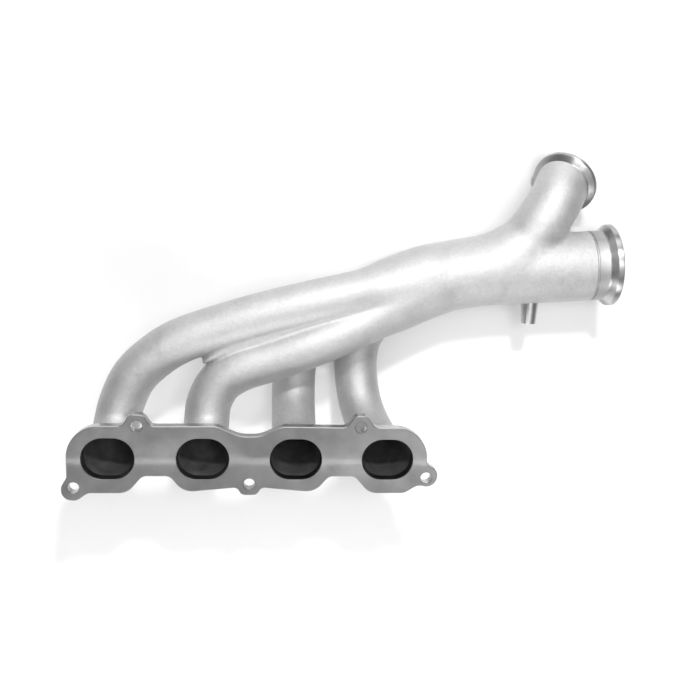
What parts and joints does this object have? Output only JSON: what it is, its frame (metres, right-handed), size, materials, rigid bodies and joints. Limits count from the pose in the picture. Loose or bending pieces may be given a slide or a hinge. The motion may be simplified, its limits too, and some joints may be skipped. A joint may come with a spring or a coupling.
{
  "type": "exhaust manifold",
  "caption": "Cast turbocharger exhaust manifold: runners from a machined head flange merge into a trunk with a V-band outlet, a wastegate branch and a sensor bung.",
  "frame": {"origin": "centre of the head flange face, midway between ports 2 and 3 on the port centre line", "axes": "+X along the port row towards the outlet end; +Y from the ports towards the collector; +Z out of the flange face, towards the cylinder head"},
  "size_m": [0.583, 0.3604, 0.1341],
  "materials": {
    "cast_steel": "bead-blasted stainless casting",
    "machined_flange": "face-milled",
    "turned_ring": "bright turned"
  },
  "bodies": {
    "root": {"head_flange": "machined_flange", "runner_1": "cast_steel", "runner_2": "cast_steel", "runner_3": "cast_steel", "runner_4": "cast_steel", "web_1_2": "cast_steel", "web_2_3": "cast_steel", "merge_collector": "cast_steel", "outlet_trunk": "cast_steel", "wastegate_branch": "cast_steel", "turbo_flange": "turned_ring", "wastegate_flange": "turned_ring", "sensor_bung": "turned_ring"}
  },
  "joints": []
}
